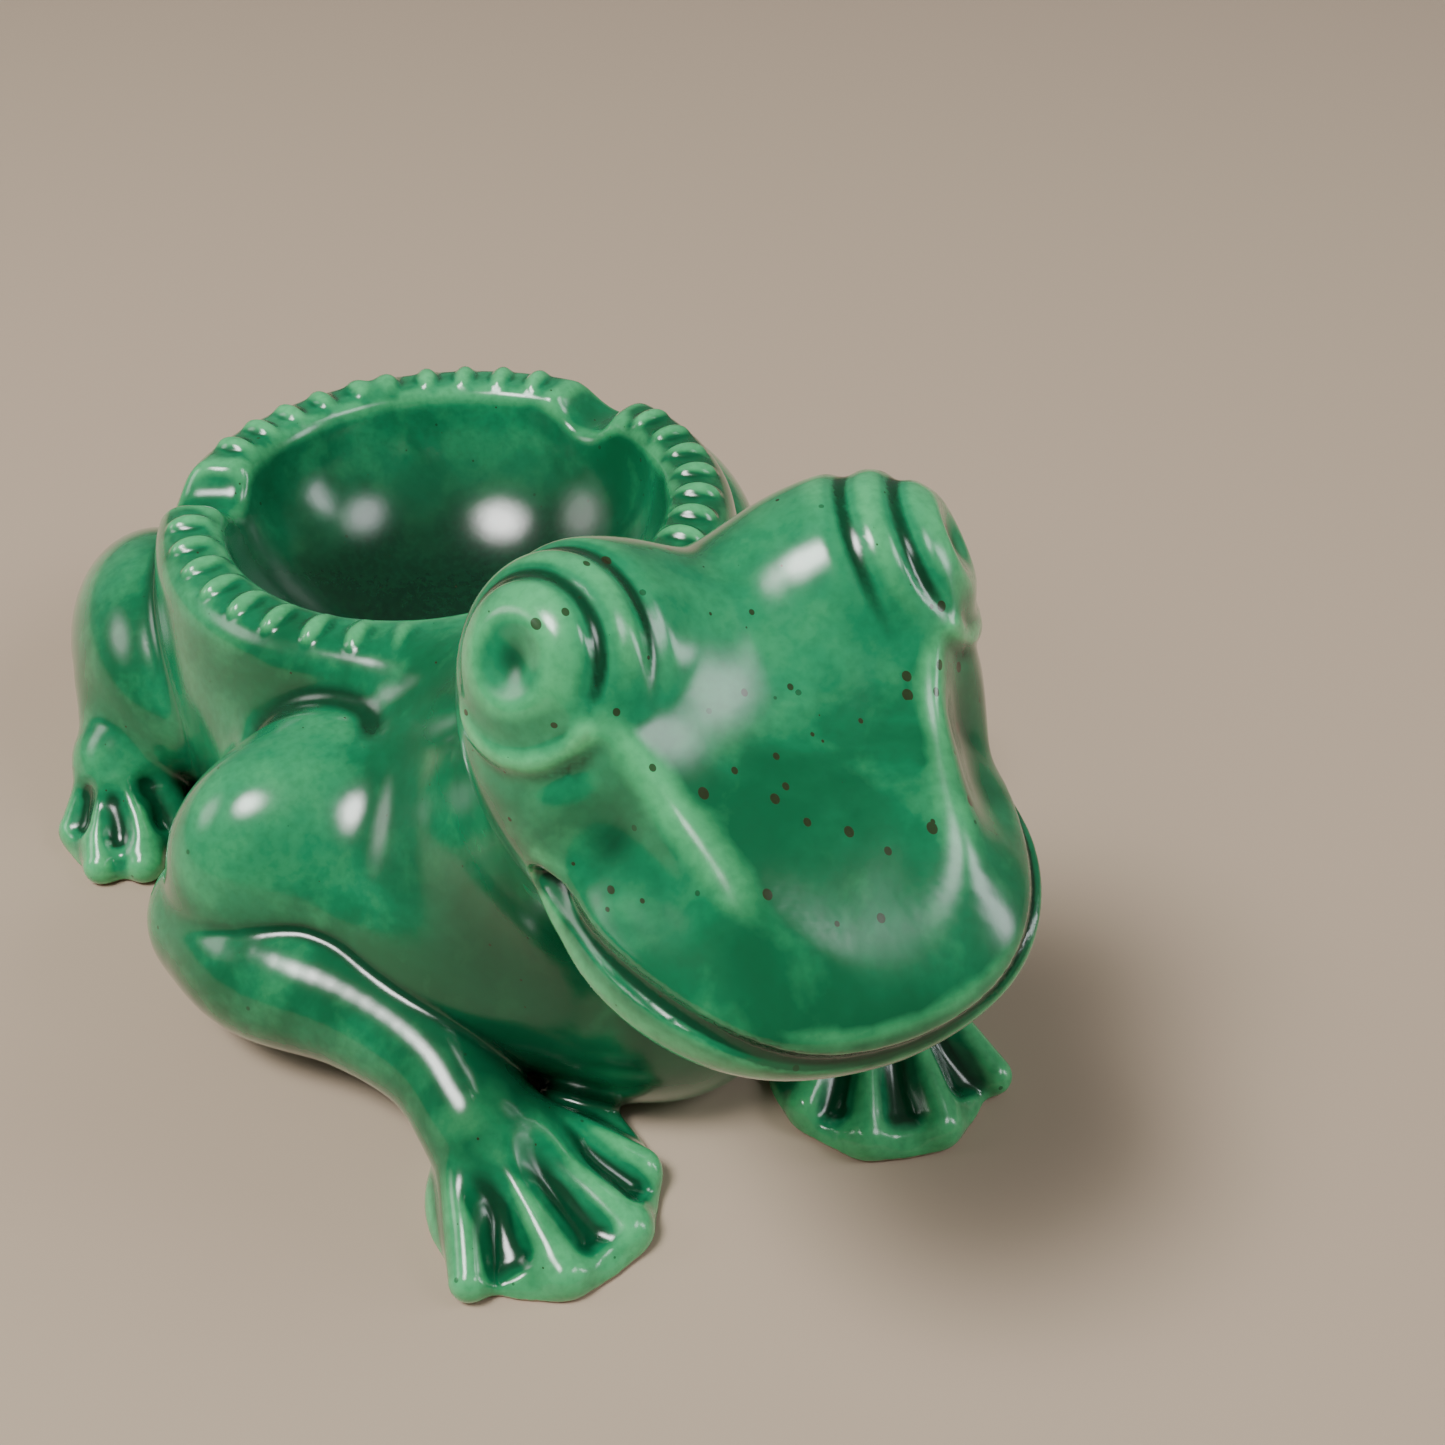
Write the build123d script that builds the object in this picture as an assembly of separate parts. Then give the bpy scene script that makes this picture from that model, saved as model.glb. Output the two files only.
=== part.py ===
"""Glazed earthenware ash bowl carried on the back of a sitting frog, in millimetres.

+Z is up and the frog looks along -Y. The origin is on the ash well's axis, in the plane of the base.
Each casting that a pottery joins with slip before the first firing is one node: the hollow body,
the ash bowl, its raised rim marks, the hollow head and the four legs. They meet face to face.
"""

import math
import os

from build123d import *

# Driving dimensions
WALL = 4.5  # of the hollow castings
RIM_RADIUS = 44.0
RIM_TOP = 45.5
RIM_THICKNESS = 6.0
RIM_ROUNDING = 2.4
WELL_RADIUS = 33.0
WELL_DEPTH = 28.0
BOWL_WALL = 4.0
REST_RADIUS = 5.2  # half the width of a cigarette rest
REST_LIFT = 0.3  # from the rim's top up to the axis of a rest
REST_ANGLES = (-90, 30, 150)  # degrees about +Z: the first one points at the head
MARKS_PER_SPAN = 10  # raised marks between two rests
MARK_SPREAD = 84.0  # degrees from the first mark of a span to its last
MARK_HEIGHT = 0.8
MARK_SIZE = (3.6, 6.0)  # along the rim, across the rim
VENT_RADIUS = 3.5  # lets the air out of the hollow during firing
VENT_Y = -56.0
PUPIL_RADIUS = 3.2

SEAT_Z = RIM_TOP - RIM_THICKNESS  # where the bowl's flange meets the body
BOWL_RADIUS = WELL_RADIUS + BOWL_WALL
MARK_CIRCLE = (RIM_RADIUS + WELL_RADIUS) / 2
FAR = 400.0  # larger than the object

# The barrel under the bowl, as (radius, z) from the floor up
BARREL = [(44.3, 0), (46.0, 9), (46.7, 20), (45.8, 32), (RIM_RADIUS - 0.4, SEAT_Z)]

# Rows of balls, as (x, y, z, radius). Those of the legs are the left ones, at +X.
CHEST_CENTRE, CHEST_RADII = (0.0, -36.0, 18.0), (43.5, 56.0, 27.0)
CRAW = [(0, -50, 21, 22), (0, -79, 15.5, 15.5)]
NECK = [(0, -54, 18, 25), (0, -70, 33, 27), (0, -85, 54, 23)]
THROAT = [(0, -85, 54, 23), (0, -96, 66, 20.5), (0, -117, 66, 13.5)]  # hollow only
UPPER_ARM = [(33, -42, 27, 14.5), (43, -40, 19, 13.5)]
FOREARM = [
    (49, -40.5, 12, 10.3),
    (46, -53, 13, 9.4),
    (37.5, -65, 13, 8.2),
    (31, -77, 12, 7.2),
    (29.5, -86, 9.5, 6.5),
]
SHIN = [(50, 12, 12, 10), (54, 2, 8, 7.5)]
HAUNCH = [(38, 27, 17, 14.5), (41, 11, 19, 17.5), (46.5, 1, 13, 12.5)]

# Toe tips on the floor, as (x, y), from the outer toe to the inner one
FRONT_TOES = [(36.2, -103.4), (25.7, -107.4), (16.6, -104.9), (12.0, -97.8)]
HIND_TOES = [(64.2, -1), (62, -10.4), (56.5, -13), (50.5, -9)]
TOE_RADIUS = 3.1
WEB_THICKNESS = 4.2

# Head outlines, as (y, lowest z, highest z, half the width), from the nape to the snout
SKULL = [
    (-78, 62, 78, 10),
    (-83, 56, 86, 19),
    (-91, 53, 88, 24),
    (-99, 54, 88, 25.2),
    (-107, 56, 85, 24.8),
    (-115, 56.5, 80, 23.8),
    (-123, 56.5, 74, 21.3),
    (-130, 56.5, 68.5, 16.6),
    (-135, 57, 63.5, 9.5),
    (-137, 58.5, 61, 3),
]
JAW = [
    (-82, 58, 70, 12),
    (-88, 51, 74, 20),
    (-96, 48.5, 74, 23),
    (-106, 48.5, 72, 23.4),
    (-115, 49.5, 70, 22.4),
    (-123, 50.5, 66, 19.6),
    (-129.5, 52, 62, 14.4),
    (-133.5, 53.5, 58, 7),
]
EYE = (15.0, -97.0, 82.8)
EYE_RADIUS = 12.0
PUPIL_WAY = (0.80, -0.40, 0.48)  # from the eye's centre to its pupil


def round_cone(a, ra, b, rb):
    """The solid swept by a ball that goes from a to b while its radius goes from ra to rb."""
    a, b = Vector(*a), Vector(*b)
    length = (b - a).length
    sine = (ra - rb) / length
    cosine = math.sqrt(1 - sine * sine)
    axis = Plane(origin=a, z_dir=(b - a).normalized())

    def at(along, out):
        return axis.from_local_coords(Vector(out, 0, along))

    def on_ball(centre, radius, angle):
        return at(centre + radius * math.cos(angle), radius * math.sin(angle))

    touch = math.pi / 2 - math.asin(sine)  # where the cone leaves each ball, from the axis
    start, low = at(-ra, 0), at(ra * sine, ra * cosine)
    high, end = at(length + rb * sine, rb * cosine), at(length + rb, 0)
    edges = [
        Edge.make_three_point_arc(start, on_ball(0, ra, (math.pi + touch) / 2), low),
        Edge.make_line(low, high),
        Edge.make_three_point_arc(high, on_ball(length, rb, touch / 2), end),
        Edge.make_line(end, start),
    ]
    return Solid.revolve(Face(Wire(edges)), 360, Axis(a, b - a))


def ball_row(balls, less=0.0):
    """Round cones end to end through the balls, each radius made less by a wall."""
    return [
        round_cone(p[:3], p[3] - less, q[:3], q[3] - less) for p, q in zip(balls, balls[1:])
    ]


def ellipsoid(centre, radii):
    """A ball of radius 1 stretched to three radii."""
    return Pos(*centre) * scale(Solid.make_sphere(1), by=radii)


def join(shapes):
    """One shape out of many that touch."""
    whole = Part() + shapes[0]
    for shape in shapes[1:]:
        whole = whole + shape
    return whole


def above(shape, z=0.0):
    """The part of a shape that is higher than z."""
    return shape - Pos(0, 0, z - FAR / 2) * Box(FAR, FAR, FAR)


def right_side(shape):
    """The left part of a pair, mirrored to the frog's right side."""
    return mirror(shape, about=Plane.YZ)


def revolved(points):
    """A solid of revolution about +Z from (radius, z) points, joined by straight lines."""
    outline = Polyline(*[(r, 0, z) for r, z in points], close=True)
    return Solid.revolve(Face(Wire(outline.edges())), 360, Axis.Z)


def upright(radius, low, high, x=0.0, y=0.0):
    """A cylinder about a line that stands up."""
    return Pos(x, y, (low + high) / 2) * Cylinder(radius, high - low)


def head_section(y, low, high, half):
    """A rounded box outline across the head: a superellipse as one closed spline."""
    squareness, points = 2.5, []
    for step in range(16):
        angle = math.tau * step / 16
        c, s = math.cos(angle), math.sin(angle)
        x = half * math.copysign(abs(c) ** (2 / squareness), c)
        z = (high - low) / 2 * math.copysign(abs(s) ** (2 / squareness), s)
        points.append((x, y, (low + high) / 2 + z))
    return Face(Wire([Edge.make_spline([Vector(*p) for p in points], periodic=True)]))


def head_loft(rows):
    """A loft through head outlines."""
    return Solid.make_loft([head_section(*row).outer_wire() for row in rows])


def toes(ankle, tips):
    """Round toes from the ankle to their tips, with a web of even thickness between them."""
    tip_balls = [(x, y, TOE_RADIUS - 0.2, TOE_RADIUS) for x, y in tips]
    outline = Polyline(*[(x, y, 0) for x, y in tips], (ankle[0], ankle[1], 0), close=True)
    web = extrude(Face(Wire(outline.edges())), WEB_THICKNESS, dir=(0, 0, 1))
    return [web, *[round_cone(ankle[:3], ankle[3], ball[:3], ball[3]) for ball in tip_balls]]


def front_leg():
    wrist = FOREARM[-1]
    ankle = (wrist[0] - 1.5, wrist[1] - 1, wrist[2] - 1.5, wrist[3] - 0.5)
    parts = [join(ball_row(FOREARM)), join(ball_row(UPPER_ARM)), join(toes(ankle, FRONT_TOES))]
    return above(join(parts))


def hind_leg():
    heel = SHIN[-1]
    ankle = (heel[0], heel[1] - 1, heel[2] - 1.5, heel[3] - 1)
    parts = [join(ball_row(HAUNCH)), join(ball_row(SHIN)), join(toes(ankle, HIND_TOES))]
    return above(join(parts))


def barrel(less=0.0):
    """The round body under the bowl, made narrower all round by a wall."""
    points = [(r - less, z) for r, z in BARREL]
    return revolved([(0, 0), *points, (0, SEAT_Z)])


def trunk(less=0.0):
    """The chest, the craw below it and the neck, made smaller all round by a wall."""
    chest = ellipsoid(CHEST_CENTRE, tuple(radius - less for radius in CHEST_RADII))
    return join([chest, join(ball_row(NECK, less)), join(ball_row(CRAW, less))])


def solid_body():
    return above(join([barrel(), trunk()]))


def solid_head():
    eyes = [Pos(side * EYE[0], EYE[1], EYE[2]) * Sphere(EYE_RADIUS) for side in (1, -1)]
    return join([head_loft(SKULL), head_loft(JAW), *eyes])


def pupils():
    """Round pits in the outer face of each eye."""
    pits = []
    for side in (1, -1):
        way = Vector(side * PUPIL_WAY[0], PUPIL_WAY[1], PUPIL_WAY[2]).normalized()
        mouth = Vector(side * EYE[0], EYE[1], EYE[2]) + way * EYE_RADIUS
        pits.append(Plane(origin=mouth, z_dir=way) * Cone(1.2, PUPIL_RADIUS, 3.0))
    return pits


def body_hollow():
    """The hollow from the floor slab to the neck."""
    room = barrel(WALL) & upright(RIM_RADIUS, WALL, SEAT_Z - WALL)
    return above(join([room, trunk(WALL), join(ball_row(THROAT, WALL))]), WALL)


def ash_bowl():
    """The dish and its flat rim, with a round notch for each cigarette rest."""
    floor = RIM_TOP - WELL_DEPTH
    well = [
        (0, floor), (18, floor), (25, floor + 2.5), (29.6, floor + 7), (32, floor + 14),
        (WELL_RADIUS, RIM_TOP - 1.5), (WELL_RADIUS + 1.5, RIM_TOP),
    ]
    rim = [
        (RIM_RADIUS - RIM_ROUNDING, RIM_TOP), (RIM_RADIUS - 0.7, RIM_TOP - 0.7),
        (RIM_RADIUS, RIM_TOP - RIM_ROUNDING), (BARREL[-1][0], SEAT_Z), (BOWL_RADIUS, SEAT_Z),
    ]
    under = [
        (BOWL_RADIUS, floor + 15), (33.5, floor + 4.5), (28, floor - 0.8), (19.5, floor - BOWL_WALL),
        (0, floor - BOWL_WALL),
    ]
    bowl = Part() + revolved([*well, *rim, *under])
    for angle in REST_ANGLES:
        rest = Pos(MARK_CIRCLE, 0, RIM_TOP + REST_LIFT) * Rot(0, 90, 0) * Cylinder(REST_RADIUS, 22)
        bowl = bowl - Rot(0, 0, angle) * rest
    return bowl


def rim_marks():
    """Plain oval pads in three rows round the rim, all of them separate solids."""
    pads = []
    for angle in REST_ANGLES:
        for i in range(MARKS_PER_SPAN):
            turn = angle + 60 + MARK_SPREAD * (i / (MARKS_PER_SPAN - 1) - 0.5)
            pad = extrude(Ellipse(MARK_SIZE[1] / 2, MARK_SIZE[0] / 2), MARK_HEIGHT)
            pads.append(Rot(0, 0, turn) * Pos(MARK_CIRCLE, 0, RIM_TOP) * pad)
    return Compound(children=[p.solid() for p in pads])


def main():
    head = solid_head()
    body = solid_body()
    left_front = front_leg() - body
    left_hind = hind_leg() - body
    dish_hole = upright(BOWL_RADIUS, SEAT_Z - WALL - 1, SEAT_Z + 1)
    vent = upright(VENT_RADIUS, -1, WALL + 1, y=VENT_Y)
    bowl_place = upright(RIM_RADIUS, SEAT_Z, FAR / 2)
    shell = body - bowl_place - head - body_hollow() - dish_hole - vent
    skull = head - join(ball_row(THROAT, WALL))
    for pupil in pupils():
        skull = skull - pupil
    nodes = {
        "body": shell,
        "ash_bowl": ash_bowl(),
        "rim_marks": rim_marks(),
        "head": skull,
        "front_left_leg": left_front,
        "front_right_leg": right_side(left_front),
        "hind_left_leg": left_hind,
        "hind_right_leg": right_side(left_hind),
    }
    os.makedirs("parts", exist_ok=True)
    for name, shape in nodes.items():
        export_step(shape, f"parts/{name}.step")
        print(name, len(shape.solids()), round(shape.volume), shape.is_valid)


main()
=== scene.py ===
"""Looks of the glazed frog ashtray: one sculpted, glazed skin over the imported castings.

The sculpture is written in millimetres as a signed distance, with x folded to |x| because the frog
is the same on both sides. It is sampled on a grid, meshed, and its points are then moved onto the
exact surface. All names of places use the frog's own frame: it looks along -Y and +Z is up.
"""

import math

import bpy
import numpy as np
import openvdb
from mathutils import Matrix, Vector


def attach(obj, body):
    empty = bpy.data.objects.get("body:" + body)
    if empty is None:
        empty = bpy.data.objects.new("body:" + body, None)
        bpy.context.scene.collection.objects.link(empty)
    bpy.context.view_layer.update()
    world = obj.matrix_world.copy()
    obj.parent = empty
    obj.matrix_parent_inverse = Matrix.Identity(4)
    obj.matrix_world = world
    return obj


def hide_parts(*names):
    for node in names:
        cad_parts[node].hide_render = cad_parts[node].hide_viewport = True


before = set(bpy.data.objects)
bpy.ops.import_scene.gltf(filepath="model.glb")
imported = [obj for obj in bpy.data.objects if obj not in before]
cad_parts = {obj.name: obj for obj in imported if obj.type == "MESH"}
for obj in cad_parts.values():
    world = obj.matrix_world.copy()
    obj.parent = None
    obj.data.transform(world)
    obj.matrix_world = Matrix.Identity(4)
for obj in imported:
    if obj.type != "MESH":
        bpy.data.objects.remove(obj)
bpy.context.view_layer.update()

# Sculpture sizes, in millimetres
STEP = 0.6  # grid spacing of the skin
COARSE = 4 * STEP
BAND = 2.6  # how far from the surface the fine grid is exact
BLOCK = 12.0  # side of the cubes in which points are worked out together
LOW = (0.0, -144.0, -3.0)  # corners of the grid
HIGH = (72.0, 55.2, 103.8)
EMPTY = 40.0  # the distance before anything is added

RIM_RADIUS = 44.0
RIM_TOP = 45.5
WELL_RADIUS = 33.0
WELL_DEPTH = 28.0
REST_RADIUS = 5.3
RESTS = ((-90, 40), (30, 52))  # angle of each rest, and the radius at which it ends
MARK_CIRCLE = 38.2
MARKS_PER_SPAN = 10
MARK_SPREAD = 84.0  # degrees from the first mark of a span to its last
MARK_RADII = (3.2, 1.75, 1.9)
VENT = (0.0, -56.0, 3.5)  # x, y and radius
VENT_DEPTH = 11.0
SOFT_FOLD = 2.0  # rounds what would be a crease in the plane of symmetry


# ---------------------------------------------------------------- distances

def smin(a, b, k):
    """The lesser of two distances, blended where they differ by under k."""
    h = np.clip(0.5 + 0.5 * (b - a) / k, 0, 1)
    return b + (a - b) * h - k * h * (1 - h)


def smax(a, b, k):
    """The greater of two distances, blended in the same way."""
    return -smin(-a, -b, k)


def smoothstep(x, low, high):
    """From 0 at low to 1 at high, with a soft start and end."""
    t = np.clip((x - low) / (high - low), 0, 1)
    return t * t * (3 - 2 * t)


def unit(v):
    v = np.array(v, np.float32)
    return v / np.linalg.norm(v)


def egg(p, centre, radii, tilt=0.0, turn=0.0):
    """Ellipsoid. Tilt lowers its -Y end, in degrees; turn is about +Z."""
    q = p - np.array(centre, np.float32)
    if turn:
        c, s = math.cos(math.radians(turn)), math.sin(math.radians(turn))
        q = np.stack([q[:, 0] * c + q[:, 1] * s, q[:, 1] * c - q[:, 0] * s, q[:, 2]], 1)
    if tilt:
        c, s = math.cos(math.radians(tilt)), math.sin(math.radians(tilt))
        q = np.stack([q[:, 0], q[:, 1] * c + q[:, 2] * s, q[:, 2] * c - q[:, 1] * s], 1)
    r = np.array(radii, np.float32)
    near = np.linalg.norm(q / r, axis=1)
    far = np.linalg.norm(q / (r * r), axis=1)
    return near * (near - 1) / np.maximum(far, 1e-6)


def cone(p, a, b):
    """A ball that slides from a to b, each (x, y, z, radius)."""
    start = np.array(a[:3], np.float32)
    way = np.array(b[:3], np.float32) - start
    q = p - start
    h = np.clip(q @ way / (way @ way), 0, 1)
    return np.linalg.norm(q - h[:, None] * way, axis=1) - (a[3] + h * (b[3] - a[3]))


def limb(balls, k=1.0):
    """A smooth tube through balls, each (x, y, z, radius)."""
    row = smooth_line(balls, 5 * (len(balls) - 1))

    def tube(p):
        d = cone(p, row[0], row[1])
        for a, b in zip(row[1:], row[2:]):
            d = smin(d, cone(p, a, b), k)
        return d

    return tube


def plane(p, point, normal):
    """Distance to a plane, over 0 on the side that its normal points to."""
    return (p - np.array(point, np.float32)) @ unit(normal)


def line_distance(p, points):
    """Distance to a bent line, and how far along it the nearest point is, from 0 to 1."""
    pts = np.array(points, np.float32)
    lengths = np.linalg.norm(pts[1:] - pts[:-1], axis=1)
    total = lengths.sum()
    best = np.full(len(p), 1e6, np.float32)
    along = np.zeros(len(p), np.float32)
    done = 0.0
    for a, b, length in zip(pts, pts[1:], lengths):
        way = b - a
        q = p - a
        h = np.clip(q @ way / (way @ way), 0, 1)
        d = np.linalg.norm(q - h[:, None] * way, axis=1)
        closer = d < best
        best = np.where(closer, d, best)
        along = np.where(closer, (done + h * length) / total, along)
        done += length
    return best, along


def smooth_line(points, count=24):
    """A Catmull-Rom curve through the points."""
    pts = np.array(points, np.float32)
    padded = np.vstack([2 * pts[0] - pts[1], pts, 2 * pts[-1] - pts[-2]])
    out = []
    for i in range(count + 1):
        u = i / count * (len(pts) - 1)
        j = min(int(u), len(pts) - 2)
        t = u - j
        a, b, c, d = padded[j:j + 4]
        out.append(0.5 * (2 * b + (c - a) * t + (2 * a - 5 * b + 4 * c - d) * t * t
                          + (3 * b - a - 3 * c + d) * t ** 3))
    return np.array(out)


def arc(centre, axis, radius, start, end):
    """Points on part of a circle: 0 degrees is up, and a greater angle is towards the frog's front."""
    a = unit(axis)
    up = unit(np.array((0, 0, 1), np.float32) - a[2] * a)
    front = np.cross(a, up)
    angles = np.radians(np.linspace(start, end, 9))
    ways = np.cos(angles)[:, None] * up + np.sin(angles)[:, None] * front
    return np.array(centre, np.float32) + radius * ways


# ---------------------------------------------------------------- the sculpture

steps = []  # (centre, reach, function of distance so far and points)


def distance(points):
    """Signed distance to the sculpture at points of either side, in millimetres."""
    p = np.array(points, np.float32)
    p[:, 0] = np.sqrt(p[:, 0] ** 2 + SOFT_FOLD ** 2)
    out = np.full(len(p), EMPTY, np.float32)
    cell = np.floor(p / BLOCK).astype(np.int64)
    key = (cell[:, 0] * 64 + cell[:, 1] + 32) * 64 + cell[:, 2] + 8
    order = np.argsort(key, kind="stable")
    ends = np.flatnonzero(np.diff(key[order])) + 1
    half = BLOCK * math.sqrt(3) / 2
    for block in np.split(order, ends):
        q = p[block]
        middle = (np.floor(q[0] / BLOCK) + 0.5) * BLOCK
        f = np.full(len(q), EMPTY, np.float32)
        for centre, reach, function in steps:
            if np.linalg.norm(centre - middle) <= reach + half + 4:
                f = function(f, q).astype(np.float32)
        out[block] = f
    return out


def slope(points, reach):
    """Distance and unit outward direction, from four points round each one."""
    corners = np.array([(1, 1, 1), (1, -1, -1), (-1, 1, -1), (-1, -1, 1)], np.float32)
    total = np.zeros_like(points)
    mean = np.zeros(len(points), np.float32)
    for corner in corners:
        d = distance(points + corner * reach)
        total += d[:, None] * corner
        mean += d / 4
    size = np.linalg.norm(total, axis=1, keepdims=True)
    return mean, total / np.maximum(size, 1e-9)


def step(centre, reach, function):
    """Add a step to the sculpture, which changes nothing further than its reach from its centre."""
    steps.append((np.array(centre, np.float32), reach, function))


def add(shape, centre, reach, k):
    """Join a shape on, with a blend k wide."""
    step(centre, reach + k, lambda f, p: smin(f, shape(p), k))


def cut(shape, centre, reach, k):
    """Take a shape away, with an edge rounded by k."""
    step(centre, reach + k, lambda f, p: smax(f, -shape(p), k))


def add_egg(centre, radii, reach, k, tilt=0.0, turn=0.0):
    add(lambda p: egg(p, centre, radii, tilt, turn), centre, reach, k)


def cut_egg(centre, radii, reach, k):
    cut(lambda p: egg(p, centre, radii), centre, reach, k)


def add_cone(a, b, centre, reach, k):
    add(lambda p: cone(p, a, b), centre, reach, k)


def snapped(curve):
    """The curve's points moved onto the surface made by the steps so far."""
    for _ in range(3):
        gap, out = slope(curve, 0.6)
        curve = curve - out * gap[:, None]
        curve[1:-1] = (curve[:-2] + 2 * curve[1:-1] + curve[2:]) / 4
    return curve


def crease(points, depth, width, ends=(0.12, 0.12)):
    """A groove along a curve, or a ridge where depth is less than 0, that fades at its ends."""
    curve = snapped(smooth_line(points, 26))
    centre = (curve.min(0) + curve.max(0)) / 2
    reach = np.linalg.norm(curve - centre, axis=1).max() + 3 * width

    def carve(f, p):
        d, along = line_distance(p, curve)
        fade = smoothstep(along, -0.001, ends[0]) * (1 - smoothstep(along, 1 - ends[1], 1.001))
        return f + depth * fade * np.exp(-(d / width) ** 2)

    step(centre, reach, carve)


def barrel(p):
    """The upright, slightly bulging wall under the rim."""
    r = np.hypot(p[:, 0], p[:, 1])
    wall = 43.4 + 3.0 * np.sin(math.pi * np.clip((44 - p[:, 2]) / 50, 0, 1))
    return smax(r - wall, p[:, 2] - RIM_TOP, 5.0)


def rest(angle, end):
    """A round notch across the rim, from over the well out to a radius."""
    c, s = math.cos(math.radians(angle)), math.sin(math.radians(angle))
    return lambda p: cone(p, (26 * c, 26 * s, 46.6, REST_RADIUS), (end * c, end * s, 45.2, REST_RADIUS))


def marks(p):
    """Oval pads round the rim, in two spans of them."""
    angle = np.degrees(np.arctan2(p[:, 1], p[:, 0]))
    span = np.where(angle < 30, -30.0, 90.0)
    pitch = MARK_SPREAD / (MARKS_PER_SPAN - 1)
    index = np.clip(np.round((angle - span + MARK_SPREAD / 2) / pitch), 0, MARKS_PER_SPAN - 1)
    off = np.radians(angle - span + MARK_SPREAD / 2 - index * pitch)
    r = np.hypot(p[:, 0], p[:, 1])
    across = r * np.cos(off) - MARK_CIRCLE
    along = r * np.sin(off)
    return egg(np.stack([across, along, p[:, 2]], 1), (0, 0, RIM_TOP - 0.6), MARK_RADII)


def toes(ankle, tips, k=2.0):
    """Tapered toes that spread from the ankle to their tips."""
    def spread(p):
        d = cone(p, ankle, tips[0])
        for tip in tips[1:]:
            d = smin(d, cone(p, ankle, tip), k)
        return d

    return spread


# Places on the frog's left side, which the fold copies to its right side. A fourth number is a radius.
FOREARM = [
    (48.8, -40.5, 12.2, 10.4), (46, -53, 13, 9.7), (37.2, -64.8, 13, 8.4), (31, -76.5, 11.8, 7.3),
    (29.3, -86, 9.2, 6.4),
]
FOOT_ANKLE = (28.5, -86, 8, 6.2)
FOOT_TIPS = [
    (36.4, -103.6, 2.2, 2.7), (25.8, -107.6, 2.2, 2.9), (16.6, -105, 2.2, 2.9), (12.2, -98, 2.8, 2.8),
]
FOOT_GROOVES = [  # line between two toes, depth, width
    ([(31.8, -90, 10.5), (32.0, -97, 7), (31.5, -106.8, 3)], 1.7, 2.7),
    ([(26.8, -90, 10), (24, -98, 6.5), (21, -108, 3)], 1.7, 2.6),
    ([(22.5, -88.5, 9.5), (18, -94.5, 7), (13.0, -103.2, 3)], 1.5, 2.3),
]
SHOULDER_FOLD = [
    (27, -48.2, 35), (25.5, -43.8, 38), (26, -39.2, 40), (29.6, -35.5, 41), (35.5, -31.6, 40.5),
    (40.5, -29, 39), (44, -27.6, 36), (48.4, -29.5, 31),
]
HIND_ANKLE = (54.5, 4, 9, 6.8)
HIND_TIPS = [(64.2, -1, 2.6, 2.9), (62.3, -10.5, 2.2, 2.9), (56.5, -13, 2.2, 2.9), (50.5, -8, 2.6, 2.8)]
HIND_GROOVES = [
    ([(59.6, 1.4, 10.5), (61.4, -2, 7.5), (64, -5.6, 4)], 1.8, 2.0),
    ([(57.3, -1.5, 10.5), (58.4, -6, 7), (59.4, -11.8, 4)], 1.8, 2.0),
    ([(54.2, -0.5, 10.5), (54, -5.4, 7), (53.2, -10.6, 4)], 1.6, 1.9),
]

# Flats that the skull is pared to: a point, the outward direction, and how round the edge is
SKULL_PLANES = [
    ((0, -103, 85.2), (0, -0.471, 0.882), 5),
    ((15.6, -118.4, 78.7), (0.768, -0.427, 0.479), 6.5),
    ((0, -135.4, 65), (0, -0.92, 0.39), 8),
    ((0, -118, 60.5), (0, 0.196, -0.981), 4),
]
MOUTH = [
    (24.2, -107, 67.3), (24, -110.5, 66.6), (22.6, -118, 65.2), (18.6, -127.3, 63.6),
    (10.5, -134.3, 61), (0, -137, 59.6),
]
LOWER_LIP = [(23.4, -105, 63.8), (22.4, -115, 63), (18.8, -125, 61.4), (11.6, -132, 59), (0, -134.8, 57.6)]
CANTHUS = [
    (20.5, -104.8, 83.0), (18.6, -107, 84.0), (17.0, -111, 83.2), (15.4, -118.4, 79.8),
    (13.4, -125, 76.2), (10.4, -130.6, 72.4), (5.5, -133.6, 70.4), (0, -134.4, 69.8),
]
SNOUT_HOLLOW = [(22.8, -108, 76), (21, -114, 74.4), (18.2, -121, 71.8), (14, -127.6, 69.6)]

EYE = (15.2, -97.8, 83.0)
EYE_AXIS = (0.80, -0.40, 0.48)
EYEBALL = tuple(np.array(EYE) + 1.9 * unit(EYE_AXIS))
PUPIL = tuple(np.array(EYEBALL) + 12.9 * unit(EYE_AXIS))
EYE_RIM = tuple(np.array(EYEBALL) + 6.2 * unit(EYE_AXIS))
BROW_RIM = tuple(np.array(EYEBALL) + 2.0 * unit(EYE_AXIS))


def skull(p):
    """A blunt wedge: a flat top that falls to the nose, and sides that lean out to the lip."""
    d = egg(p, (0, -99.5, 69.5), (24.6, 21.5, 16.5))
    d = smin(d, egg(p, (0, -113.5, 67), (24.2, 25.5, 16.5), tilt=14), 6)
    for point, normal, k in SKULL_PLANES:
        d = smax(d, plane(p, point, normal), k)
    return smin(d, egg(p, (0, -118.4, 63.8), (22.6, 18.9, 5.4), tilt=9), 6)


# Trunk
add(barrel, (0, 0, 22), 70, 1.0)
add_egg((0, -36, 18), (44, 56, 26), 60, 8)
add_cone((0, -52, 20, 22), (0, -79, 14.5, 15.5), (0, -65, 17), 40, 10)
add_cone((0, -58, 24, 26), (0, -86, 56, 21.5), (0, -72, 42), 50, 12)

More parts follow.
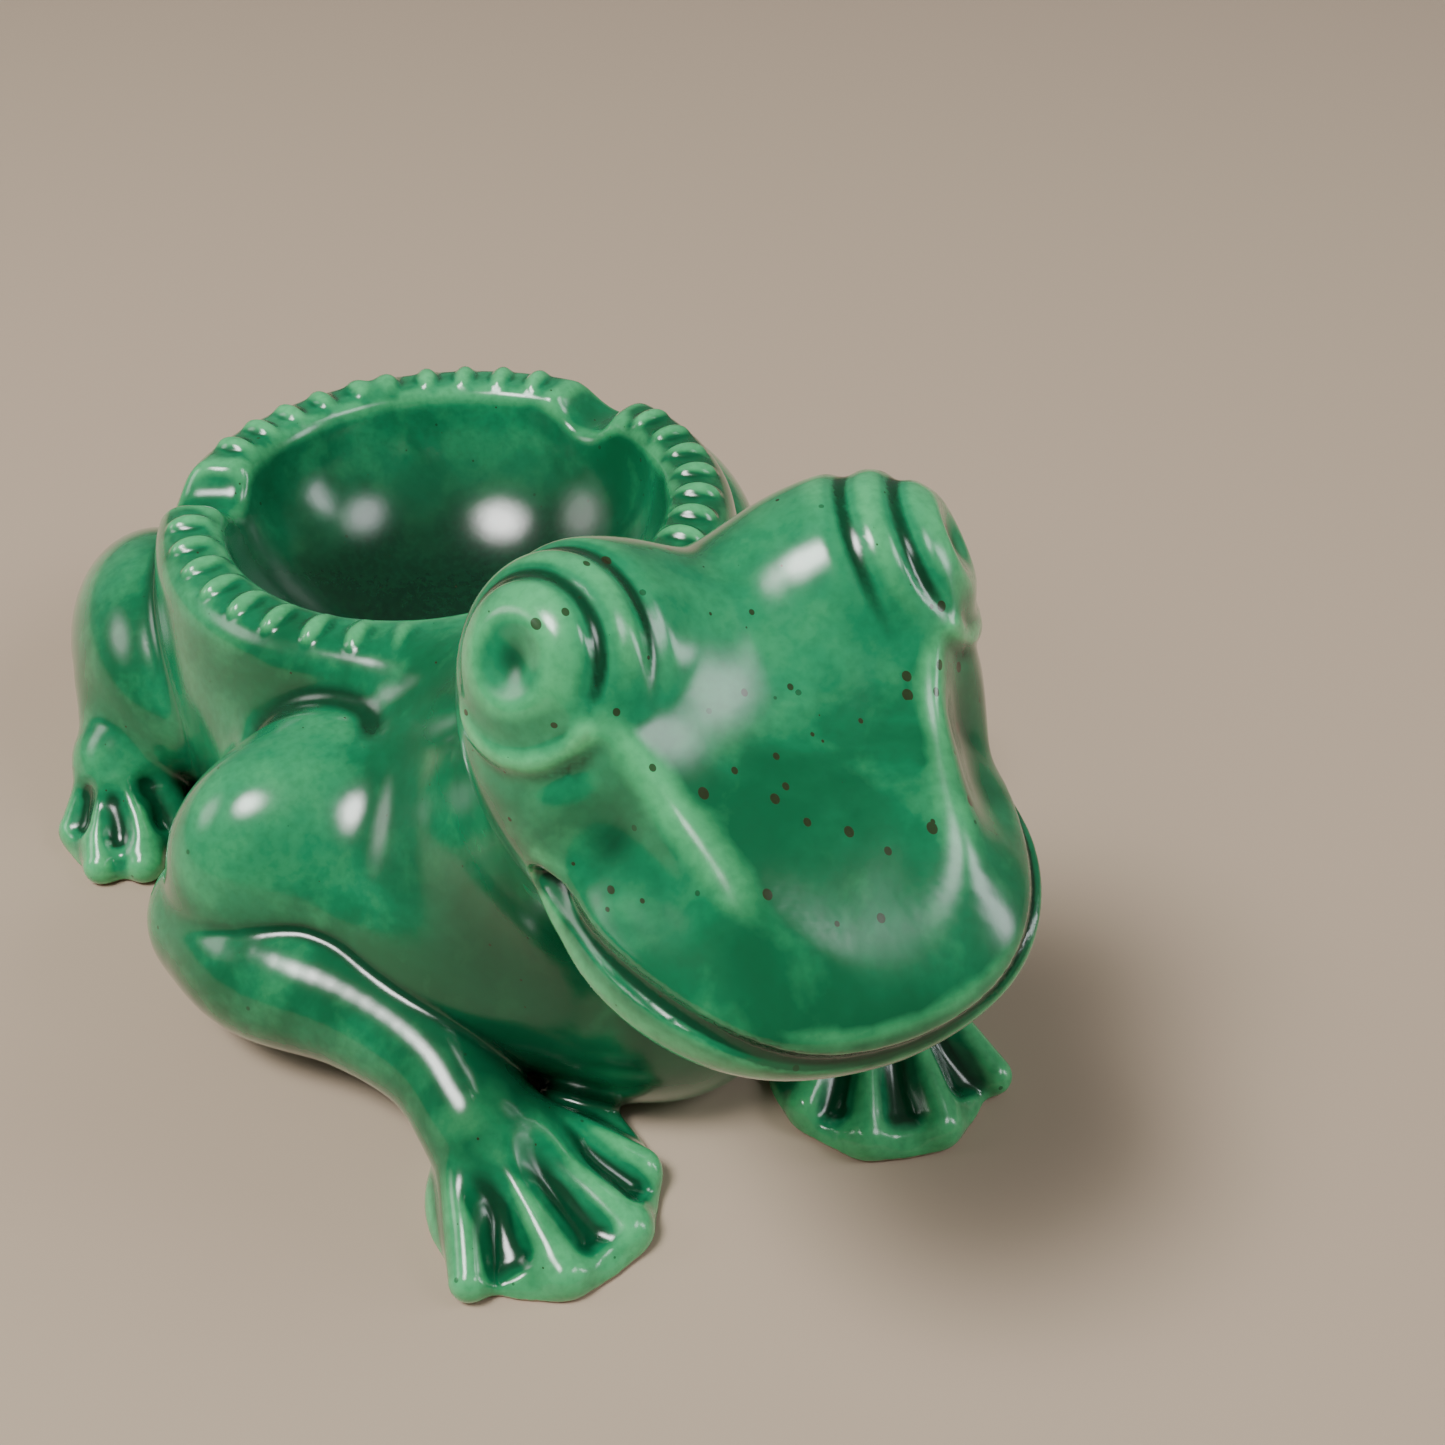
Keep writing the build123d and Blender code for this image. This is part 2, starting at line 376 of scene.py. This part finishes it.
# Upper arm, forearm and front foot
add_egg((38, -43.5, 24.5), (16.8, 13, 15.5), 18, 9, turn=-8)
add_cone((42, -43, 20, 13), (48.5, -41, 12.5, 10.4), (46, -42, 16), 22, 4)
add(limb(FOREARM), (40, -63, 11), 42, 1.3)
add_egg((24, -94.5, 0.5), (14.5, 15.5, 6.2), 17, 4)
add(toes(FOOT_ANKLE, FOOT_TIPS), (24, -95, 6), 22, 2.0)
for line, depth, width in FOOT_GROOVES:
    crease(line, depth, width, (0.4, 0.16))
crease(SHOULDER_FOLD, 1.2, 2.5, (0.2, 0.2))

# Haunch and hind foot
add_egg((42.5, 19, 16.5), (15.6, 25, 18.5), 26, 2.2, turn=5)
add_cone((49, 12, 12, 10), (54, 5, 9, 8), (51, 9, 10), 18, 4)
add_egg((56.8, -2.5, 0.5), (9.5, 10.5, 7), 13, 3)
add(toes(HIND_ANKLE, HIND_TIPS), (57, -3, 6), 18, 2.0)
for line, depth, width in HIND_GROOVES:
    crease(line, depth, width, (0.35, 0.3))

# Bowl
cut_egg((0, 0, 46), (WELL_RADIUS + 0.4, WELL_RADIUS + 0.4, WELL_DEPTH + 0.5), 42, 3.2)
for angle, end in RESTS:
    way = math.cos(math.radians(angle)), math.sin(math.radians(angle))
    cut(rest(angle, end), (38.5 * way[0], 38.5 * way[1], 46), 22, 2.2)
add(marks, (0, 0, 46), 48, 0.8)

# Skull, snout and jaw
add(skull, (0, -108, 68), 36, 6)
add_egg((20.5, -101.5, 70.5), (4.6, 8.5, 8.5), 10, 6)
add_egg((0, -109, 61.9), (22.0, 24.5, 8.2), 27, 2.4, tilt=9)
# The brows flow forward into the top of the snout
add_egg((13.8, -95.6, 80.0), (12.0, 11.0, 13.2), 16, 11, tilt=4)
crease(LOWER_LIP, -1.0, 2.0, (0.15, 0.001))
crease(SNOUT_HOLLOW, 1.1, 4.4, (0.35, 0.45))
crease(CANTHUS, -1.25, 3.3, (0.06, 0.65))
crease(CANTHUS[:5], -0.4, 1.5, (0.03, 0.75))
crease(MOUTH, 1.5, 0.85, (0.04, 0.001))
crease(MOUTH[:3], 1.0, 1.5, (0.15, 0.8))
cut_egg((24.0, -110.2, 66.6), (1.3, 2.4, 0.9), 4, 1.4)

# Eyes
add_egg(EYEBALL, (10.5, 10.5, 10.5), 12, 2.6)
crease(arc(EYE_RIM, EYE_AXIS, 8.4, -150, 118), 0.85, 1.1, (0.2, 0.2))
crease(arc(BROW_RIM, EYE_AXIS, 12.8, -100, 108), 0.95, 1.25, (0.25, 0.4))
crease(arc(EYE_RIM, EYE_AXIS, 9.4, 104, 235), -1.0, 1.1, (0.1, 0.3))
crease(arc(EYE_RIM, EYE_AXIS, 11.6, 108, 215), 0.25, 1.8, (0.3, 0.3))
add_egg((22.6, -100.5, 76.4), (2.7, 5.6, 2.5), 7, 1.8, tilt=-8)
cut_egg(PUPIL, (4.4, 4.4, 4.4), 5, 2.4)

# The flat the frog stands on, and the vent
step((0, -30, 0), 400, lambda f, p: smax(f, -p[:, 2], 0.8))
cut(lambda p: np.maximum(np.hypot(p[:, 0] - VENT[0], p[:, 1] - VENT[1]) - VENT[2], p[:, 2] - VENT_DEPTH),
    (VENT[0], VENT[1], 5), 12, 0.8)


def grid_points(spacing):
    """The grid's steps along each axis, and all of its points."""
    axes = [np.arange(low, high + spacing / 2, spacing, dtype=np.float32) for low, high in zip(LOW, HIGH)]
    return axes, np.stack(np.meshgrid(*axes, indexing="ij"), -1).reshape(-1, 3)


def sculpt():
    """Points and faces of the skin, in millimetres."""
    axes, points = grid_points(COARSE)
    coarse = distance(points).reshape([len(a) for a in axes])
    ratio = round(COARSE / STEP)
    fine_shape = [(n - 1) * ratio + 1 for n in coarse.shape]
    fine = coarse
    for axis, size in enumerate(fine_shape):
        at = np.arange(size) / ratio
        low = np.minimum(at.astype(int), fine.shape[axis] - 2)
        part = (at - low).astype(np.float32).reshape([-1 if i == axis else 1 for i in range(3)])
        fine = np.take(fine, low, axis) * (1 - part) + np.take(fine, low + 1, axis) * part
    close = np.argwhere(np.abs(fine) < BAND)
    exact = distance(close.astype(np.float32) * STEP + np.array(LOW, np.float32))
    fine = np.clip(fine, -BAND, BAND)
    fine[tuple(close.T)] = np.clip(exact, -BAND, BAND)
    whole = np.concatenate([fine[:0:-1], fine], 0)
    grid = openvdb.FloatGrid(BAND)
    grid.copyFromArray(whole.astype(np.float32))
    points, quads = grid.convertToQuads(0.0)
    origin = np.array([-(fine.shape[0] - 1) * STEP, LOW[1], LOW[2]])
    return points.astype(np.float32) * STEP + origin.astype(np.float32), np.array(quads, np.int32)


def bend(points, reach):
    """How the surface bends: over 0 on ridges, under 0 in grooves."""
    total = -6 * distance(points)
    for axis in range(3):
        for sign in (1, -1):
            shifted = points.copy()
            shifted[:, axis] += sign * reach
            total += distance(shifted)
    return total / reach


points, quads = sculpt()
for _ in range(2):
    gap, out = slope(points, 0.2)
    points -= out * np.clip(gap, -0.6, 0.6)[:, None]
gap, normals = slope(points, 0.35)
fine_bend = bend(points, 1.1)
broad_bend = bend(points, 3.4)
print("skin", len(points), "points", len(quads), "faces", points.min(0), points.max(0))

mesh = bpy.data.meshes.new("glazed_frog")
mesh.vertices.add(len(points))
mesh.vertices.foreach_set("co", (points / 1000).astype(np.float32).ravel())
mesh.loops.add(quads.size)
mesh.loops.foreach_set("vertex_index", quads.astype(np.int32).ravel())
mesh.polygons.add(len(quads))
mesh.polygons.foreach_set("loop_start", np.arange(0, quads.size, 4, dtype=np.int32))
mesh.polygons.foreach_set("use_smooth", np.ones(len(quads), bool))
mesh.update(calc_edges=True)
mesh.validate()
mesh.normals_split_custom_set_from_vertices(normals.astype(np.float32))
# Darker with depth inside the well: painted shade of the deep bowl, with some glaze pooled at its bottom
well_shade_and_pool = smoothstep(RIM_TOP - 1 - points[:, 2], 0, 24)
well_shade_and_pool *= np.hypot(points[:, 0], points[:, 1]) < WELL_RADIUS + 1
well_shade_and_pool *= points[:, 2] > RIM_TOP - WELL_DEPTH - 2
for name, values in (("fine_bend", fine_bend), ("broad_bend", broad_bend), ("well_shade_and_pool", well_shade_and_pool)):
    attribute = mesh.attributes.new(name, "FLOAT", "POINT")
    attribute.data.foreach_set("value", values.astype(np.float32))
frog = bpy.data.objects.new("glazed_frog", mesh)
bpy.context.scene.collection.objects.link(frog)
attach(frog, "root")
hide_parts("body", "ash_bowl", "rim_marks", "head", "front_left_leg", "front_right_leg",
            "hind_left_leg", "hind_right_leg")


# ---------------------------------------------------------------- glaze

DARK_GREEN = (0.003, 0.1, 0.036, 1)
GREEN = (0.014, 0.24, 0.1, 1)
THIN_GREEN = (0.085, 0.52, 0.2, 1)
SHARP_RIDGE = (0.26, 0.36, 0.2, 1)
POOLED_GREEN = (0.001, 0.045, 0.017, 1)
# Painted shade deep in the well, with some pooled glaze
WELL_SHADE_POOL_GREEN = (0.0005, 0.016, 0.007, 1)
# Painted shade on the breast and craw under the head
BREAST_SHADE_GREEN = (0.001, 0.045, 0.018, 1)
GRAIN_GREEN = (0.003, 0.08, 0.03, 1)
SPECK_BROWN = (0.022, 0.018, 0.006, 1)
PINHOLE_BROWN = (0.01, 0.03, 0.01, 1)
CLAY = (0.52, 0.44, 0.33, 1)


class Nodes:
    """Short ways to write a material's nodes."""

    def __init__(self, name):
        self.material = bpy.data.materials.new(name)
        self.material.use_nodes = True
        self.tree = self.material.node_tree
        self.tree.nodes.clear()

    def new(self, kind, **settings):
        node = self.tree.nodes.new(kind)
        for key, value in settings.items():
            setattr(node, key, value)
        return node

    def put(self, value, socket):
        if isinstance(value, bpy.types.NodeSocket):
            self.tree.links.new(value, socket)
        else:
            socket.default_value = value

    def math(self, kind, a, b=0.0, clamp=False):
        node = self.new("ShaderNodeMath", operation=kind, use_clamp=clamp)
        self.put(a, node.inputs[0])
        self.put(b, node.inputs[1])
        return node.outputs[0]

    def ramp(self, value, low, high, to_low=0.0, to_high=1.0):
        node = self.new("ShaderNodeMapRange", interpolation_type="SMOOTHSTEP")
        for socket, item in zip(node.inputs, (value, low, high, to_low, to_high)):
            self.put(item, socket)
        return node.outputs[0]

    def mix(self, amount, a, b):
        node = self.new("ShaderNodeMix", data_type="RGBA")
        self.put(amount, node.inputs[0])
        self.put(a, node.inputs[6])
        self.put(b, node.inputs[7])
        return node.outputs[2]

    def noise(self, scale, detail, vector, distortion=0.0):
        node = self.new("ShaderNodeTexNoise")
        node.inputs["Scale"].default_value = scale
        node.inputs["Detail"].default_value = detail
        node.inputs["Distortion"].default_value = distortion
        self.put(vector, node.inputs["Vector"])
        return node.outputs[0]


def stored(n, name):
    """A value that the mesh holds for each of its points."""
    return n.new("ShaderNodeAttribute", attribute_name=name).outputs["Fac"]


def breast_shade_area(n, across, y, z):
    """1 on the breast and craw under the head, where shade is painted, and 0 elsewhere."""
    area = n.math("MULTIPLY", n.ramp(y, -0.045, -0.062), n.ramp(z, 0.05, 0.03))
    area = n.math("MULTIPLY", area, n.ramp(across, 0.036, 0.024))
    middle = n.math("MAXIMUM", n.ramp(y, -0.094, -0.088), n.ramp(across, 0.014, 0.009))
    return n.math("MULTIPLY", area, n.math("MULTIPLY", middle, n.ramp(z, 0.003, 0.012)))


def specks(n, place, y, z):
    """Dark iron specks, with more and larger ones on top of the head."""
    spots = n.new("ShaderNodeTexVoronoi", feature="F1")
    spots.inputs["Scale"].default_value = 380
    spots.inputs["Randomness"].default_value = 1.0
    stretched = n.new("ShaderNodeMapping")
    stretched.inputs["Scale"].default_value = (1.0, 0.72, 1.0)
    stretched.inputs["Rotation"].default_value = (0.2, 0.1, 0.9)
    n.put(place, stretched.inputs["Vector"])
    n.put(stretched.outputs[0], spots.inputs["Vector"])
    chance = n.new("ShaderNodeSeparateColor")
    n.put(spots.outputs["Color"], chance.inputs[0])
    on_head = n.math("MULTIPLY", n.ramp(y, -0.088, -0.1), n.ramp(z, 0.066, 0.072))
    size = n.math("MULTIPLY", n.ramp(chance.outputs[0], 0.3, 0.9, 0.04, 0.2), n.ramp(on_head, 0, 1, 0.3, 1))
    return n.math("LESS_THAN", spots.outputs["Distance"], size)


def pinholes(n, place):
    """A few much smaller dark points all over."""
    pins = n.new("ShaderNodeTexVoronoi", feature="F1")
    pins.inputs["Scale"].default_value = 480
    n.put(place, pins.inputs["Vector"])
    chance = n.new("ShaderNodeSeparateColor")
    n.put(pins.outputs["Color"], chance.inputs[0])
    return n.math("LESS_THAN", pins.outputs["Distance"], n.ramp(chance.outputs[1], 0.86, 1.0, 0.0, 0.16))


def glaze():
    """Translucent green glaze: pale where it ran thin on ridges, dark where it pooled, with painted shade
    in the well and on the breast under the head.
    """
    n = Nodes("green_glaze")
    place = n.new("ShaderNodeTexCoord").outputs["Object"]
    fine = stored(n, "fine_bend")
    broad = stored(n, "broad_bend")
    cloud = n.noise(38, 6, place, 0.5)
    blotch = n.noise(190, 4, place, 0.3)
    grain = n.noise(900, 3, place)
    wobble = n.math("MULTIPLY", n.math("SUBTRACT", n.math("ADD", cloud, blotch), 1.0), 0.8)
    thin = n.math("ADD", n.ramp(fine, 0.3, 1.8, 0, 0.6), n.ramp(broad, 0.2, 1.2, 0, 0.7))
    thin = n.math("ADD", thin, wobble, clamp=True)
    pool = n.math("ADD", n.ramp(fine, -0.05, -1.0, 0, 0.9), n.ramp(broad, -0.1, -1.4, 0, 0.7), clamp=True)
    well = stored(n, "well_shade_and_pool")
    position = n.new("ShaderNodeSeparateXYZ")
    n.put(place, position.inputs[0])
    across = n.math("ABSOLUTE", position.outputs[0])
    y, z = position.outputs[1], position.outputs[2]

    colour = n.mix(n.ramp(cloud, 0.35, 0.65), DARK_GREEN, GREEN)
    for amount, paint in (
        (thin, THIN_GREEN),
        (n.ramp(fine, 1.1, 2.4, 0, 0.5), SHARP_RIDGE),
        (pool, POOLED_GREEN),
        # painted shade deep in the well, with some pooled glaze
        (n.math("MULTIPLY", well, 0.95), WELL_SHADE_POOL_GREEN),
        # painted shade on the breast under the head
        (n.math("MULTIPLY", breast_shade_area(n, across, y, z), 0.75), BREAST_SHADE_GREEN),
        (n.ramp(grain, 0.35, 0.75, 0, 0.22), GRAIN_GREEN),
        (n.math("MULTIPLY", specks(n, place, y, z), 0.85), SPECK_BROWN),
        (n.math("MULTIPLY", pinholes(n, place), 0.6), PINHOLE_BROWN),
    ):
        colour = n.mix(amount, colour, paint)
    bare = n.ramp(z, 0.0007, 0.0003)  # the underside has no glaze
    colour = n.mix(bare, colour, CLAY)

    bump = n.new("ShaderNodeBump")
    bump.inputs["Strength"].default_value = 0.06
    bump.inputs["Distance"].default_value = 0.001
    n.put(n.noise(170, 3, place), bump.inputs["Height"])

    shader = n.new("ShaderNodeBsdfPrincipled")
    for name, value in (
        ("Base Color", colour),
        ("Roughness", n.ramp(bare, 0, 1, 0.22, 0.8)),
        ("IOR", 1.5),
        ("Specular IOR Level", 0.15),
        ("Coat Weight", n.math("SUBTRACT", 1.0, bare)),
        ("Coat Roughness", 0.15),
        ("Coat IOR", 1.42),
        ("Coat Normal", bump.outputs[0]),
        ("Subsurface Weight", 0.15),
        ("Subsurface Radius", (0.2, 1.0, 0.45)),
        ("Subsurface Scale", 0.002),
    ):
        n.put(value, shader.inputs[name])
    n.put(shader.outputs[0], n.new("ShaderNodeOutputMaterial").inputs[0])
    return n.material


def plain(name, colour, roughness):
    """One even colour."""
    n = Nodes(name)
    shader = n.new("ShaderNodeBsdfPrincipled")
    shader.inputs["Base Color"].default_value = colour
    shader.inputs["Roughness"].default_value = roughness
    n.put(shader.outputs[0], n.new("ShaderNodeOutputMaterial").inputs[0])
    return n.material


frog.data.materials.append(glaze())

# ---------------------------------------------------------------- floor, light and camera

bpy.ops.mesh.primitive_plane_add(size=24, location=(0, 0, 0))
floor = bpy.context.object
floor.name = "floor"
floor.data.materials.append(plain("floor_paper", (0.43, 0.335, 0.25, 1), 0.85))

world = bpy.data.worlds.new("studio")
bpy.context.scene.world = world
world.use_nodes = True
background = world.node_tree.nodes["Background"]
background.inputs["Color"].default_value = (1.0, 0.93, 0.86, 1)
background.inputs["Strength"].default_value = 0.16


SOFTBOX_AIM = (0, -0.06, 0.05)
SOFTBOX_LAYERS = ((1.25, 0.3), (0.95, 0.35), (0.65, 0.35))  # share of the size and of the power


def softbox(name, place, size, power, colour):
    """A window that gets brighter towards its middle: three ellipses, each in front of a wider one."""
    way = (Vector(SOFTBOX_AIM) - Vector(place)).normalized()
    for i, (width, share) in enumerate(SOFTBOX_LAYERS):
        light = bpy.data.lights.new(f"{name}_{i}", "AREA")
        light.shape = "ELLIPSE"
        light.size, light.size_y = size[0] * width, size[1] * width
        light.energy = power * share
        light.color = colour
        lamp = bpy.data.objects.new(f"{name}_{i}", light)
        lamp.location = Vector(place) + way * 0.01 * i
        lamp.rotation_euler = way.to_track_quat("-Z", "Y").to_euler()
        bpy.context.scene.collection.objects.link(lamp)


softbox("window_left", (-0.62, -0.2, 1.2), (0.6, 0.5), 22.0, (1.0, 0.99, 0.97))
softbox("window_right", (0.9, -0.8, 1.15), (0.75, 0.6), 7.5, (0.95, 0.98, 1.0))
softbox("window_side", (1.35, -0.7, 0.5), (0.35, 0.8), 4.5, (0.93, 0.97, 1.0))
softbox("window_back", (-1.3, 0.6, 0.8), (0.8, 0.7), 4.5, (1.0, 0.98, 0.95))

camera_data = bpy.data.cameras.new("camera")
camera_data.sensor_width = 36.0
camera_data.lens = 44.65
camera_data.clip_start = 0.01
camera = bpy.data.objects.new("camera", camera_data)
camera.location = (-0.0636, -0.2315, 0.1851)
camera.rotation_euler = (math.radians(90 - 37.93), math.radians(0.2), math.radians(-25.54))
bpy.context.scene.collection.objects.link(camera)
bpy.context.scene.camera = camera
